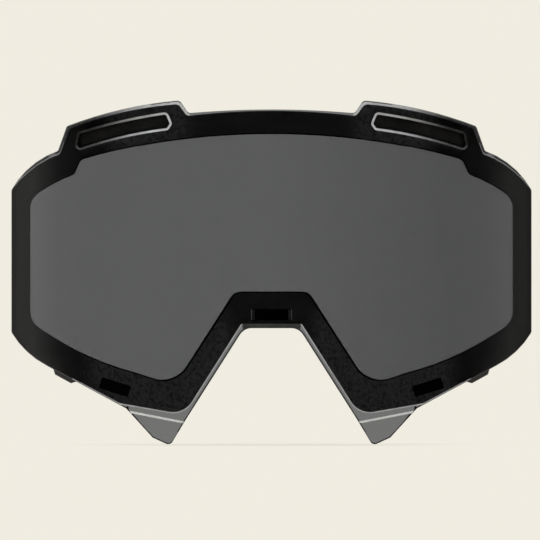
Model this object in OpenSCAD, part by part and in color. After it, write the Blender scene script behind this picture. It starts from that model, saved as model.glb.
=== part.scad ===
/* [Lens] */
// Overall width of the outer lens, side edge to side edge
lens_w = 176; // [170:1:184]
// Overall height of the outer lens, tips to the top of the vent sections
lens_h = 116; // [112:1:122]
// Radius of the outer lens surface about its upright axis
lens_r = 110; // [106:1:118]
// Thickness of the outer lens
lens_t = 2; // [1.6:0.1:2.6]
// Set-back of the tips' front face below the crease
tip_step = 0.6; // [0.2:0.1:1]
// Half-width of the nose cut at its top
nose_half_w = 9.2; // [8:0.1:11]
// Height of the top of the nose cut above the tips
nose_z = 39.3; // [36:0.1:42]
// Drop from the top of the lens to the upper corner of its side edge
shoulder_drop = 30.1; // [28:0.1:32]
// Height of the lower corner of the side edge above the tips
cheek_z = 37.7; // [35:0.1:40]

/* [Lens vents] */
// Distance of a raised vent section's inner end from the lens's side edge
vent_in = 57.2; // [55:0.1:59]
// Distance of a raised vent section's outer end from the lens's side edge
vent_out = 19; // [17.5:0.1:20.5]
// Width of the bevelled rim around a vent slot
vent_rim = 1; // [0.5:0.1:1.4]
// Depth of the rim's recess in the lens face
vent_rim_depth = 0.7; // [0.3:0.1:1]
// Clearance around the foam in its vent slot
vent_fit = 0.15; // [0.1:0.05:0.3]

/* [Lens sandwich] */
// Thickness of the black spacer gasket, which is the air gap between the panes
gasket_t = 1.8; // [1.4:0.1:2.4]
// Set-back of the gasket from the lens's side edges
gasket_side = 0.3; // [0.2:0.1:0.6]
// Width of the gasket at the sides, with its set-back, seen from the front
window_side = 6.6; // [5.6:0.1:7.6]
// Thickness of the inner pane
pane_t = 0.8; // [0.6:0.1:1.2]
// Drop of the window's edge under the outer end of a vent section, from the top of the lens
window_drop = 20.2; // [19.5:0.1:21]
// Overlap of the inner pane behind the gasket's window edge
pane_lap = 3; // [2:0.1:3.4]
// Thickness of the carrier ring behind the gasket
carrier_t = 2.4; // [1.8:0.1:3]
// Set-back of the carrier from the gasket's edges
carrier_inset = 0.3; // [0.2:0.1:0.8]
// Bond line between curved faces of the sandwich
bond = 0.1; // [0.05:0.01:0.15]

/* [Pull tabs] */
// Length of a pull tab along the lower edge
tab_len = 8.8; // [6:0.1:12]
// How far a pull tab stands out of the lens edge
tab_out = 1.3; // [0.8:0.1:2.5]
// Thickness of a pull tab, front to back
tab_t = 4.2; // [3:0.1:5]

/* [Magnets] */
// Length of a magnet
magnet_l = 11.1; // [8:0.1:13]
// Height of a magnet
magnet_h = 3.5; // [2.8:0.1:4]
// Height of the nose magnet's centre above the tips
nose_magnet_z = 43.8; // [43:0.1:45]
// Distance of a lower magnet's centre from the middle
low_magnet_x = 52.3; // [48:0.1:56]
// Height of a lower magnet's centre above the tips
low_magnet_z = 19.4; // [19:0.1:20.5]
// Tilt of a lower magnet along the lower edge
low_magnet_tilt = 17.3; // [12:0.1:22]
// Clearance around a magnet or a keeper in its pocket
magnet_fit = 0.12; // [0.05:0.01:0.2]
// Thickness of a steel keeper in the frame
keeper_t = 1.6; // [1:0.1:2]
// Width of the clip on each side of the nose magnet
clip_w = 1.4; // [1.2:0.1:2]
// Width of each rib on the clip
clip_rib = 0.4; // [0.3:0.05:0.5]
// How far the clip's ribs stand proud of it
clip_rib_h = 0.4; // [0.2:0.1:0.6]

/* [Frame] */
// Set-back of the frame from the gasket's outer edge
frame_inset = 1.2; // [1:0.1:1.6]
// Set-back of the frame's side walls from the lens's side edges
frame_side = 2.8; // [2.6:0.1:4]
// Thickness of the frame's wall
wall_t = 2.4; // [1.8:0.1:2.6]
// Thickness of the front flange that the lens unit seats on
flange_t = 2.5; // [2.2:0.1:3.2]
// Set-back of the front flange from the window's edge
flange_lip = 1.2; // [1:0.1:2]
// Gap between the lens unit and the frame, and between other moving bodies
body_gap = 0.3; // [0.25:0.05:0.5]
// Depth of the wall between the front flange and the face plate, at the middle
wall_mid = 15.6; // [14:0.1:20]
// Depth of the wall between the front flange and the face plate, at the sides
wall_side = 4.1; // [3.8:0.1:6]
// Thickness of the face plate that carries the foam
plate_t = 2.2; // [1.6:0.1:3]

/* [Air vents of the frame] */
// Width of a vent slot in the frame's wall
slot_w = 7; // [4:0.5:8]
// Length of a vent slot, front to back
slot_l = 5; // [3:0.5:6]
// Distance between neighbouring vent slots
slot_pitch = 9.5; // [9:0.5:12]
// Length of the raised vent sections' slot rows in the frame's top wall
side_row = 32; // [28:1:34]
// Length of the slot rows in the frame's bottom wall
low_row = 30; // [26:1:32]
// Thickness of the filter foam strips
filter_t = 2; // [1.5:0.1:2.6]

/* [Foam] */
// Thickness of the firm foam glued to the face plate
foam_base_t = 4; // [3:0.5:5]
// Thickness of the soft middle foam
foam_core_t = 7; // [5:0.5:8]
// Thickness of the fleece lining that meets the face
foam_lining_t = 2; // [1.5:0.5:3]
// Set-back of the foam's sides from the lens's side edges
foam_side = 2.5; // [2.4:0.1:4]
// Set-back of the foam from the gasket's outer edge elsewhere
foam_inset = 0.5; // [0.3:0.1:1.5]
// Set-back of the foam and the face plate from the window's edge
foam_window = 0.3; // [0.2:0.1:1.5]

/* [Outriggers] */
// Radius of the hinge pin
pin_r = 1; // [0.8:0.05:1.1]
// Outer radius of the hinge knuckles
knuckle_r = 2; // [1.9:0.05:2]
// Length of the outrigger's knuckle
knuckle_l = 16; // [12:0.5:22]
// Length of each ear on the frame
ear_l = 5; // [4:0.5:8]
// Running clearance of the hinge pin
pin_fit = 0.05; // [0.02:0.01:0.08]
// Height of the hinge's middle above the tips
hinge_z = 62; // [58:0.5:64]
// Thickness of the outrigger plate
arm_t = 2; // [1.6:0.1:2]
// Length of the outrigger from its hinge to its rear end
arm_len = 33.2; // [31:0.1:40]
// Length of the strap slot
strap_slot_l = 40; // [34:0.5:42]
// Width of the strap slot
strap_slot_w = 5.2; // [4.6:0.1:6]
// Width of the bars around the strap slot
strap_bar = 3.8; // [3:0.1:5]

/* [Hidden] */

$fn = 240;
eps = 0.01;
over = 5;                 // how far a cutter runs past what it cuts
arc_step = 5;             // longest chord of a gentle arc
fillet_step = 15;         // largest turn between points of a fillet, in degrees
half_w = lens_w / 2;

// Radii of the sandwich, from the front, all about the lens axis
gasket_r = lens_r - lens_t - bond;
pane_r = gasket_r - gasket_t - bond;
carrier_r = pane_r;
carrier_back_r = carrier_r - carrier_t;
flange_r = carrier_back_r - body_gap;
flange_back_r = flange_r - flange_t;

// Depth of an upright wall of radius r about the axis at depth y_axis, at the distance x from the middle
function wall_y(x, r, y_axis) = y_axis - sqrt(r * r - x * x);

// Front of the face plate: an arc through its middle and its sides, about the face axis
frame_half_w = half_w - frame_side;
plate_mid_y = wall_y(0, flange_back_r, lens_r) + wall_mid;
plate_rise = wall_y(frame_half_w, flange_back_r, lens_r) + wall_side - plate_mid_y;
plate_front_r = (frame_half_w * frame_half_w + plate_rise * plate_rise) / (2 * plate_rise);
face_axis = plate_mid_y + plate_front_r;

// Radii behind it, all about the face axis
plate_r = plate_front_r - plate_t;
base_r = plate_r - foam_base_t;
core_r = base_r - foam_core_t;
face_r = core_r - foam_lining_t;

// Heights that the outlines share
side_top_z = lens_h - shoulder_drop;
// Ends of the raised vent sections and of the lower edge, as distances from the middle
vent_in_x = half_w - vent_in;
vent_out_x = half_w - vent_out;
low_edge_x = half_w - 12.2;

// Outline corners of the right half, clockwise from the top: x, z, corner radius, bulge of the next edge
lens_half = [
    [vent_in_x - 2.9, lens_h - 4.2, 1.7, 0],
    [vent_in_x, lens_h + 0.1, 1.7, 1.35],
    [vent_out_x, lens_h - 8.4, 1.4, 0],
    [vent_out_x + 3, lens_h - 16.8, 1, 1.9],
    [half_w, side_top_z, 1.7, 0],
    [half_w, cheek_z, 1.7, 1.15],
    [low_edge_x, 26.5, 3.4, 0],
    [49.1, 12.1, 0.7, 0],
    [40.2, 2.2, 1, 0],
    [34.1, -0.5, 1.7, 0],
    [28.8, 8.4, 6.8, 0],
    [nose_half_w, nose_z, 4.7, 0]
];
lens_top_bulge = 1.2;
band_half = [
    [vent_in_x - 2.4, lens_h - 5.2, 1.7, 0],
    [vent_in_x + 0.5, lens_h - 1.2, 2, 1.35],
    [vent_out_x - 1.1, lens_h - 9.2, 1.4, 0],
    [vent_out_x + 2, lens_h - 17.8, 1.4, 1.6],
    [half_w - gasket_side, side_top_z - gasket_side, 2, 0],
    [half_w - gasket_side, cheek_z + gasket_side, 2, 1.1],
    [low_edge_x, 27, 3.4, 0],
    [50.8, 14, 4, 0],
    [29.4, 10.4, 7.4, 0],
    [nose_half_w + 1, nose_z + 1.4, 0.7, 0]
];
band_top_bulge = 1.7;
window_half = [
    [vent_out_x - 4.8, lens_h - window_drop, 2.7, 0],
    [vent_out_x - 2.6, lens_h - window_drop - 4.8, 1.7, 0.75],
    [half_w - window_side, side_top_z - 3.3, 6, 0],
    [half_w - window_side, cheek_z + 3.9, 6, 2],
    [45.5, 24.6, 40, 0],
    [32.6, 20.4, 9.5, 0],
    [nose_half_w + 3.4, nose_z + 12.5, 3.7, 0]
];
window_top_bulge = 8.4;

// Vent slot of the right half, clockwise from its inner top corner
vent_corners = [
    [vent_in_x + 4.7, lens_h - 4.7, 0.9, 0.6],
    [vent_out_x - 4.4, lens_h - 11.1, 0.9, 0],
    [vent_out_x - 3.3, lens_h - 16, 1, -0.8],
    [vent_in_x + 4.4, lens_h - 9.1, 0.7, 0],
    [vent_in_x + 3.4, lens_h - 7.7, 0.7, 0]
];

// Crease across a tip, from the outer side to the nose side
tip_crease = [[47.6, 11.5], [29.3, 8]];

// Lower edge of the lens, and the middle of a pull tab on it
low_edge = [[low_edge_x, 26.5], [49.1, 12.1]];
tab_place = 6.9;          // from the lower edge's outer end
tab_mid = low_edge[0] + unit(low_edge[1] - low_edge[0]) * tab_place;
tab_slope = atan2(low_edge[0][1] - low_edge[1][1], low_edge[0][0] - low_edge[1][0]);

function xz(c) = [c[0], c[1]];
function unit(v) = v / norm(v);
function outward(v) = [-v[1], v[0]];
function turn(v, a) = [v[0] * cos(a) - v[1] * sin(a), v[0] * sin(a) + v[1] * cos(a)];

// Both halves of an outline from its right half
function both(half, top_bulge) = concat(half, [for (i = [len(half) - 1 : -1 : 0])
    [-half[i][0], half[i][1], half[i][2], i == 0 ? top_bulge : half[i - 1][3]]]);

// Inner points of the arc from a to b that stands out of its chord by s
function arc_points(a, b, s) = s == 0 ? [] :
    let (c = norm(b - a), h = 2 * atan(2 * s / c), r = c / 2 / sin(h), n = max(3, ceil(c / arc_step)),
         u = (b - a) / c)
    [for (k = [1 : n - 1]) let (t = h * (2 * k / n - 1))
        (a + b) / 2 + u * r * sin(t) + outward(u) * (r * cos(t) - r + s)];

// Points that round the corner c between p and q
function fillet(p, c, q, r) =
    let (a = unit(p - c), b = unit(q - c), angle = acos(max(-1, min(1, a * b))))
    angle > 178 ? [c] :
    let (t = min(r / tan(angle / 2), 0.98 * norm(p - c), 0.98 * norm(q - c)),
         o = c + unit(a + b) * t / cos(angle / 2), s = c + a * t - o, e = c + b * t - o,
         w = atan2(s[0] * e[1] - s[1] * e[0], s * e), n = max(2, ceil(abs(w) / fillet_step)))
    [for (k = [0 : n]) o + turn(s, w * k / n)];

// All points of an outline
function outline(cs) =
    let (n = len(cs),
         arcs = [for (i = [0 : n - 1]) arc_points(xz(cs[i]), xz(cs[(i + 1) % n]), cs[i][3])])
    [for (i = [0 : n - 1])
        let (h = (i + n - 1) % n, before = arcs[h], after = arcs[i],
             p = len(before) > 0 ? before[len(before) - 1] : xz(cs[h]),
             q = len(after) > 0 ? after[0] : xz(cs[(i + 1) % n]))
        each concat(fillet(p, xz(cs[i]), q, cs[i][2]), after)];

// Direction of the edge from a to b at its start or end, where it bulges by s
function edge_dir(a, b, s, at_end) =
    let (h = 2 * atan(2 * s / norm(b - a))) turn(unit(b - a), at_end ? -h : h);

// Corners moved outward by d, edge by edge, or inward where d is negative
function grown(cs, d) = let (n = len(cs))
    [for (i = [0 : n - 1])
        let (h = (i + n - 1) % n, c = xz(cs[i]),
             e1 = edge_dir(xz(cs[h]), c, cs[h][3], true),
             e2 = edge_dir(c, xz(cs[(i + 1) % n]), cs[i][3], false),
             n1 = outward(e1), n2 = outward(e2),
             m = c + (n1 + n2) * d / (1 + n1 * n2),
             convex = e1[0] * e2[1] - e1[1] * e2[0] < 0)
        [m[0], m[1], max(cs[i][2] + (convex ? d : -d), 0.15), cs[i][3]]];

// Points held within w of the middle
function clipped(points, w) = [for (p = points) [max(-w, min(w, p[0])), p[1]]];

lens_corners = both(lens_half, lens_top_bulge);
band_corners = both(band_half, band_top_bulge);
window_corners = both(window_half, window_top_bulge);
lens_outline = outline(lens_corners);
low_z = min([for (p = lens_outline) p[1]]);

// Where the gasket's side walls stand: radial walls, seen at a slant from the front
side_angle = asin((half_w - window_side) / (gasket_r - gasket_t));

// Depth of the middle of the frame's wall at x
function mid_y(x) = (wall_y(x, flange_back_r, lens_r) + wall_y(x, plate_front_r, face_axis)) / 2;

// Hinge of an outrigger: its knuckle is level with the plate, inside the lens's side edge
arm_out_x = half_w - 0.1;
hinge_x = arm_out_x - knuckle_r;
hinge_y = mid_y(frame_half_w) - 0.4;
arm_in_x = arm_out_x - arm_t;
arm_rear = hinge_y + arm_len;
arm_half_h = strap_slot_l / 2 + strap_bar;
arm_neck_y = hinge_y + knuckle_r + body_gap + 0.2;

module place() {
    translate([0, -arm_rear / 2, -low_z]) children();
}

module prism(points, y0, y1) {
    translate([0, y1, 0]) rotate([90, 0, 0]) linear_extrude(y1 - y0) polygon(points);
}

module upright(r, y_axis) {
    translate([0, y_axis, -over]) cylinder(r = r, h = lens_h + 2 * over);
}

// Wall between two radii about the lens axis, within an outline seen from the front
module wrap(points, r_in, r_out) {
    difference() {
        intersection() {
            prism(points, -over, lens_r);
            upright(r_out, lens_r);
        }
        upright(r_in, lens_r);
    }
}

// Wall between two radii about the face axis, within an outline seen from the front
module face_wrap(points, r_in, r_out) {
    difference() {
        intersection() {
            prism(points, 0, face_axis);
            upright(r_out, face_axis);
        }
        upright(r_in, face_axis);
    }
}

// Places children at radius r about the lens axis, straight behind the point x, z of the gasket's face
module on_wall(x, z, r) {
    translate([0, lens_r, z]) rotate([0, 0, asin(x / gasket_r)]) translate([0, -r, 0]) children();
}

module for_side(side) {
    mirror([side < 0 ? 1 : 0, 0, 0]) children();
}

// Block of a magnet or keeper between two radii, grown by gx along it and by g over its height
module magnet_block(r_in, r_out, gx, g) {
    translate([-magnet_l / 2 - gx, 0, -magnet_h / 2 - g])
        cube([magnet_l + 2 * gx, r_out - r_in, magnet_h + 2 * g]);
}

module nose_block(r_in, r_out, gx, g) {
    on_wall(0, nose_magnet_z, r_out) magnet_block(r_in, r_out, gx, g);
}

module low_block(r_in, r_out, g) {
    on_wall(low_magnet_x, low_magnet_z, r_out) rotate([0, -low_magnet_tilt, 0])
        magnet_block(r_in, r_out, g, g);
}

module all_blocks(r_in, r_out, nose_gx, g) {
    nose_block(r_in, r_out, nose_gx, g);
    for (side = [-1, 1]) for_side(side) low_block(r_in, r_out, g);
}

module vents(d, r_in, r_out) {
    for (side = [-1, 1]) for_side(side) wrap(outline(grown(vent_corners, d)), r_in, r_out);
}

module outer_lens() {
    tip_r = lens_r - tip_step;
    under = [[tip_crease[0][0] + over, tip_crease[0][1] + 1], tip_crease[0], tip_crease[1],
             [tip_crease[1][0] - over, tip_crease[1][1] - 1], [tip_crease[1][0] - over, -over],
             [tip_crease[0][0] + over, -over]];
    color([0.45, 0.45, 0.47, 0.6]) place() difference() {
        wrap(lens_outline, lens_r - lens_t, lens_r);
        vents(0, lens_r - lens_t - over, lens_r + over);
        vents(vent_rim, lens_r - vent_rim_depth, lens_r + over);
        for (side = [-1, 1]) for_side(side) wrap(under, tip_r, lens_r + over);
    }
}

module spacer_gasket() {
    back_r = gasket_r - gasket_t;
    color([0.06, 0.06, 0.06]) place() difference() {
        wrap(outline(band_corners), back_r, gasket_r);
        prism(outline(window_corners), -over, lens_r);
        // Radial side walls
        intersection() {
            prism(outline(grown(window_corners, gasket_t)), -over, lens_r);
            translate([0, lens_r, -over]) linear_extrude(lens_h + 2 * over)
                polygon([[0, 0], [-lens_r * tan(side_angle), -lens_r], [lens_r * tan(side_angle), -lens_r]]);
        }
        vents(vent_fit, back_r - over, gasket_r + over);
        all_blocks(back_r - over, gasket_r + over, clip_w, magnet_fit);
    }
}

module inner_pane() {
    color([0.5, 0.5, 0.52, 0.5]) place()
        wrap(outline(grown(window_corners, pane_lap)), pane_r - pane_t, pane_r);
}

module lens_carrier() {
    color([0.12, 0.12, 0.13]) place() difference() {
        wrap(outline(grown(band_corners, -carrier_inset)), carrier_back_r, carrier_r);
        prism(outline(grown(window_corners, carrier_inset)), -over, lens_r);
        wrap(outline(grown(window_corners, pane_lap + bond)), pane_r - pane_t - bond, carrier_r + over);
        vents(vent_fit, carrier_back_r - over, carrier_r + over);
        all_blocks(carrier_back_r - over, carrier_r + over, magnet_fit, magnet_fit);
    }
}

module pull_tab(side) {
    ramp = tab_out;
    color([0.2, 0.2, 0.21]) place() for_side(side) difference() {
        wrap([for (p = [[-tab_len / 2 - ramp, 2 * tab_out], [-tab_len / 2, 0], [-tab_len / 2 + ramp, -tab_out],
                        [tab_len / 2 - ramp, -tab_out], [tab_len / 2, 0], [tab_len / 2 + ramp, 2 * tab_out]])
                  tab_mid + turn(p, tab_slope)],
             carrier_r - tab_t, carrier_r);
        prism(outline(grown(band_corners, -carrier_inset)), -over, lens_r);
    }
}

module vent_foam(side) {
    color([0.08, 0.08, 0.08]) place() for_side(side)
        wrap(outline(vent_corners), carrier_back_r, gasket_r - bond);
}

module nose_magnet() {
    color([0.02, 0.02, 0.02]) place() nose_block(carrier_back_r + bond, gasket_r - 2 * bond, 0, 0);
}

module nose_magnet_clip() {
    back_r = gasket_r - gasket_t;
    front_r = gasket_r - bond - clip_rib_h;
    inner_x = magnet_l / 2 + magnet_fit;
    width = clip_w - 2 * magnet_fit;
    color([0.35, 0.35, 0.36]) place() for (side = [-1, 1]) for_side(side)
        translate([inner_x, 0, nose_magnet_z - magnet_h / 2]) {
            translate([0, lens_r - front_r, 0]) cube([width, front_r - back_r, magnet_h]);
            for (x = [0, width - clip_rib])
                translate([x, lens_r - front_r - clip_rib_h, 0]) cube([clip_rib, clip_rib_h + eps, magnet_h]);
        }
}

module lower_magnet(side) {
    color([0.02, 0.02, 0.02]) place() for_side(side) low_block(carrier_back_r + bond, gasket_r - 2 * bond, 0);
}

frame_points = clipped(outline(grown(band_corners, -frame_inset)), frame_half_w);
chamber_points = clipped(outline(grown(band_corners, -frame_inset - wall_t)), frame_half_w - wall_t);

// Slots through the frame's wall at each x, between two heights
module wall_slots(xs, z0, z1) {
    for (x = xs) translate([x - slot_w / 2, mid_y(x) - slot_l / 2, z0]) cube([slot_w, slot_l, z1 - z0]);
}

// Rows of slots, each with its filter strip: the ends of the strip, and the middles of its slots
filter_lap = 1.5;         // how far a strip runs past its row's outer slots
top_row_x = vent_in_x - 4.8;
side_row_x = [vent_in_x + 3.2, vent_in_x + 3.2 + side_row];
low_row_x = [low_edge_x - 1.8 - low_row, low_edge_x - 1.8];
function row_slots(x0, x1) =
    let (n = floor((x1 - x0 - 2 * filter_lap - slot_w) / slot_pitch), x = (x0 + x1) / 2)
    [for (k = [0 : n]) x + (k - n / 2) * slot_pitch];

module outrigger_knuckle(r, l) {
    translate([hinge_x, hinge_y, hinge_z - l / 2]) cylinder(r = r, h = l);
}

module goggle_frame() {
    color([0.1, 0.1, 0.105]) place() difference() {
        union() {
            // Wall from the lens side to the face plate
            difference() {
                intersection() {
                    prism(frame_points, 0, face_axis);
                    upright(flange_r, lens_r);
                }
                upright(plate_front_r + bond, face_axis);
                prism(chamber_points, -over, face_axis + over);
            }
            // Flange that the lens unit seats on
            difference() {
                wrap(frame_points, flange_back_r, flange_r);
                prism(outline(grown(window_corners, flange_lip)), -over, lens_r);
                vents(vent_fit, flange_back_r - over, flange_r + over);
            }
            // Ears of the outrigger hinges
            for (side = [-1, 1]) for_side(side)
                outrigger_knuckle(knuckle_r, knuckle_l + 2 * (body_gap + ear_l));
        }
        all_blocks(flange_r - keeper_t, flange_r + over, magnet_fit, magnet_fit);
        wall_slots(row_slots(-top_row_x, top_row_x), lens_h / 2, lens_h + over);
        for (side = [-1, 1]) for_side(side) {
            wall_slots(row_slots(side_row_x[0], side_row_x[1]), lens_h / 2, lens_h + over);
            wall_slots(row_slots(low_row_x[0], low_row_x[1]), -over, lens_h / 3);
            outrigger_knuckle(knuckle_r + body_gap, knuckle_l + 2 * body_gap);
            outrigger_knuckle(pin_r + pin_fit, lens_h);
        }
    }
}

foam_outer = clipped(outline(grown(band_corners, -foam_inset)), half_w - foam_side);
foam_inner = outline(grown(window_corners, foam_window));

module face_layer(r_in, r_out) {
    difference() {
        face_wrap(foam_outer, r_in, r_out);
        prism(foam_inner, -over, face_axis);
    }
}

module face_plate() {
    color([0.13, 0.13, 0.135]) place() face_layer(plate_r + bond, plate_front_r);
}

module foam_base() {
    color([0.16, 0.16, 0.17]) place() face_layer(base_r + bond, plate_r);
}

module foam_core() {
    color([0.1, 0.1, 0.1]) place() face_layer(core_r + bond, base_r);
}

module foam_lining() {
    color([0.22, 0.22, 0.23]) place() face_layer(face_r, core_r);
}

// Strip of filter foam under the frame's wall, from x0 to x1 and z0 to z1
module filter_strip(x0, x1, z0, z1) {
    difference() {
        intersection() {
            prism(chamber_points, 0, face_axis);
            upright(flange_back_r - bond, lens_r);
            translate([x0, 0, z0]) cube([x1 - x0, face_axis, z1 - z0]);
        }
        prism(clipped(outline(grown(band_corners, -frame_inset - wall_t - filter_t)), frame_half_w - wall_t),
              -over, face_axis + over);
        upright(plate_front_r + bond, face_axis);
    }
}

module top_filter_middle() {
    color([0.14, 0.14, 0.14]) place()
        filter_strip(-top_row_x, top_row_x, lens_h / 2, lens_h + over);
}

module top_filter(side) {
    color([0.14, 0.14, 0.14]) place() for_side(side)
        filter_strip(side_row_x[0], side_row_x[1], lens_h / 2, lens_h + over);
}

module bottom_filter(side) {
    color([0.14, 0.14, 0.14]) place() for_side(side)
        filter_strip(low_row_x[0], low_row_x[1], -over, lens_h / 3);
}

module nose_keeper() {
    color([0.6, 0.6, 0.62]) place() nose_block(flange_r - keeper_t, flange_r - bond, 0, 0);
}

module lower_keeper(side) {
    color([0.6, 0.6, 0.62]) place() for_side(side) low_block(flange_r - keeper_t, flange_r - bond, 0);
}

module hinge_pin(side) {
    color([0.65, 0.65, 0.67]) place() for_side(side)
        outrigger_knuckle(pin_r, knuckle_l + 2 * (body_gap + ear_l));
}

module outrigger(side) {
    slot_y1 = arm_rear - strap_bar;
    slot_y0 = slot_y1 - strap_slot_w;
    side_corners = [
        [hinge_y, -knuckle_l / 2, 0.1, 0], [arm_neck_y, -knuckle_l / 2, 0.1, 0],
        [arm_neck_y, -knuckle_l / 2 - 2, 1.5, 0], [slot_y0 - strap_bar - 3, -arm_half_h, 6, 0],
        [arm_rear, -arm_half_h, 3.5, 0], [arm_rear, arm_half_h, 3.5, 0],
        [slot_y0 - strap_bar - 3, arm_half_h, 6, 0], [arm_neck_y, knuckle_l / 2 + 2, 1.5, 0],
        [arm_neck_y, knuckle_l / 2, 0.1, 0], [hinge_y, knuckle_l / 2, 0.1, 0]
    ];
    color([0.11, 0.11, 0.115]) place() for_side(side) difference() {
        union() {
            outrigger_knuckle(knuckle_r, knuckle_l);
            translate([arm_in_x, 0, hinge_z]) rotate([90, 0, 90])
                linear_extrude(arm_t) polygon(outline(side_corners));
        }
        outrigger_knuckle(pin_r + pin_fit, lens_h);
        translate([arm_in_x - over, slot_y0, hinge_z - strap_slot_l / 2])
            cube([arm_t + 2 * over, strap_slot_w, strap_slot_l]);
    }
}

outer_lens();
spacer_gasket();
inner_pane();
lens_carrier();
pull_tab(-1);  // pull_tab_left
pull_tab(1);  // pull_tab_right
vent_foam(-1);  // vent_foam_left
vent_foam(1);  // vent_foam_right
nose_magnet();
nose_magnet_clip();
lower_magnet(-1);  // lower_magnet_left
lower_magnet(1);  // lower_magnet_right
goggle_frame();
face_plate();
foam_base();
foam_core();
foam_lining();
top_filter_middle();
top_filter(-1);  // top_filter_left
top_filter(1);  // top_filter_right
bottom_filter(-1);  // bottom_filter_left
bottom_filter(1);  // bottom_filter_right
nose_keeper();
lower_keeper(-1);  // lower_keeper_left
lower_keeper(1);  // lower_keeper_right
hinge_pin(-1);  // hinge_pin_left
hinge_pin(1);  // hinge_pin_right
outrigger(-1);  // outrigger_left
outrigger(1);  // outrigger_right
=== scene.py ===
import math

import bpy
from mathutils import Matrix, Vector, geometry


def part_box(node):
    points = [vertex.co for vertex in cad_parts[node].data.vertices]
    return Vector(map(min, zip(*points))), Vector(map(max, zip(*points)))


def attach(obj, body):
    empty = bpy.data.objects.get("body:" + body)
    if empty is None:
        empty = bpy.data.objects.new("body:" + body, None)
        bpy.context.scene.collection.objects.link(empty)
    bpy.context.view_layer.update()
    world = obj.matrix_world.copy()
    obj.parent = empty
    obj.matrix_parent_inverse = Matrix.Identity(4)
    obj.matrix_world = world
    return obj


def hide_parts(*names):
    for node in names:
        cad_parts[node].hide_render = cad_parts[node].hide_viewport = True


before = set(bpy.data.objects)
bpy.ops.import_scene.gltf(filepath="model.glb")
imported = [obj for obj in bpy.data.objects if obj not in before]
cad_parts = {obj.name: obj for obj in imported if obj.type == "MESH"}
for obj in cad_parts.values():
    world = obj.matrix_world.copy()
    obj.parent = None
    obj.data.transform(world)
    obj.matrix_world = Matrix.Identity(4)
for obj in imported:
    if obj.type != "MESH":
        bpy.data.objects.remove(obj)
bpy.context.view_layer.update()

# ---------------------------------------------------------------- sizes, in millimetres

MM = 0.001

lens_low, lens_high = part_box("outer_lens")
body_low, body_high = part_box("outrigger_left")
HALF_W = lens_high.x / MM
LENS_H = 116.0               # tips to the top of the vent sections, as the outlines use it
FRONT_Y = lens_low.y / MM    # depth of the lens's front, in the row frame

LENS_R = 110.0
LENS_T = 2.0
LENS_IOR = 1.5
BOND = 0.1                   # bond line between curved faces
GASKET_T = 1.8
PANE_T = 0.8
PANE_LAP = 3.0
CARRIER_T = 2.4
GASKET_R = LENS_R - LENS_T - BOND
PANE_R = GASKET_R - GASKET_T - BOND
CARRIER_BACK_R = PANE_R - CARRIER_T
SEAT_GAP = 0.3               # between the carrier and the frame's flange
FLANGE_R = CARRIER_BACK_R - SEAT_GAP
FLANGE_T = 2.5
FLANGE_BACK_R = FLANGE_R - FLANGE_T
FRAME_SIDE = 2.8
WALL_MID = 15.6              # length of the frame's wall at the middle and at the sides
WALL_SIDE = 4.1
PLATE_T = 2.2
FOAM_BASE_T = 4.0
FOAM_CORE_T = 7.0
FOAM_LINING_T = 2.0
FOAM_SIDE = 2.5

LENS_AXIS = FRONT_Y + LENS_R


def wall_y(x, r, axis):
    """Depth of an upright cylinder wall of radius r at x."""
    return axis - math.sqrt(r * r - x * x)


FRAME_HALF_W = HALF_W - FRAME_SIDE
plate_mid_y = wall_y(0, FLANGE_BACK_R, LENS_AXIS) + WALL_MID
plate_rise = wall_y(FRAME_HALF_W, FLANGE_BACK_R, LENS_AXIS) + WALL_SIDE - plate_mid_y
PLATE_FRONT_R = (FRAME_HALF_W ** 2 + plate_rise ** 2) / (2 * plate_rise)
FACE_AXIS = plate_mid_y + PLATE_FRONT_R
PLATE_R = PLATE_FRONT_R - PLATE_T
BASE_R = PLATE_R - FOAM_BASE_T
CORE_R = BASE_R - FOAM_CORE_T
FACE_R = CORE_R - FOAM_LINING_T

# Outline corners of the right half, clockwise from the top: x, z, corner radius, bulge of the next edge
VENT_IN = HALF_W - 57.2
VENT_OUT = HALF_W - 19
WINDOW_SIDE = HALF_W - 6.6
SIDE_TOP = LENS_H - 30.1
CHEEK = 37.7
LOW_EDGE = HALF_W - 12.2
NOSE_HALF_W = 9.2
NOSE_Z = 39.3

LENS_HALF = [
    (VENT_IN - 2.9, LENS_H - 4.55, 1.7, 0), (VENT_IN, LENS_H - 0.25, 1.7, 1.35),
    (VENT_OUT, LENS_H - 8.7, 1.4, 0), (VENT_OUT + 3, LENS_H - 17, 1, 1.9),
    (HALF_W, SIDE_TOP, 1.7, 0), (HALF_W, CHEEK, 1.7, 1.15), (LOW_EDGE, 26.5, 3.4, 0),
    (48.9, 12.3, 0.7, 0), (39.9, 2.5, 1, 0), (34, -0.15, 1.7, 0), (28.8, 8.5, 6.8, 0),
    (NOSE_HALF_W, NOSE_Z, 4.7, 0),
]
BAND_HALF = [
    (VENT_IN - 2.4, LENS_H - 5.5, 1.7, 0), (VENT_IN + 0.5, LENS_H - 1.5, 2, 1.35),
    (VENT_OUT - 1.1, LENS_H - 9.5, 1.4, 0), (VENT_OUT + 2, LENS_H - 18, 1.4, 1.6),
    (HALF_W - 0.3, SIDE_TOP - 0.3, 2, 0), (HALF_W - 0.3, CHEEK + 0.3, 2, 1.1), (LOW_EDGE, 27, 3.4, 0),
    (50.8, 14, 4, 0), (29.4, 10.4, 7.4, 0), (NOSE_HALF_W + 1, NOSE_Z + 1.4, 0.7, 0),
]
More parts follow.
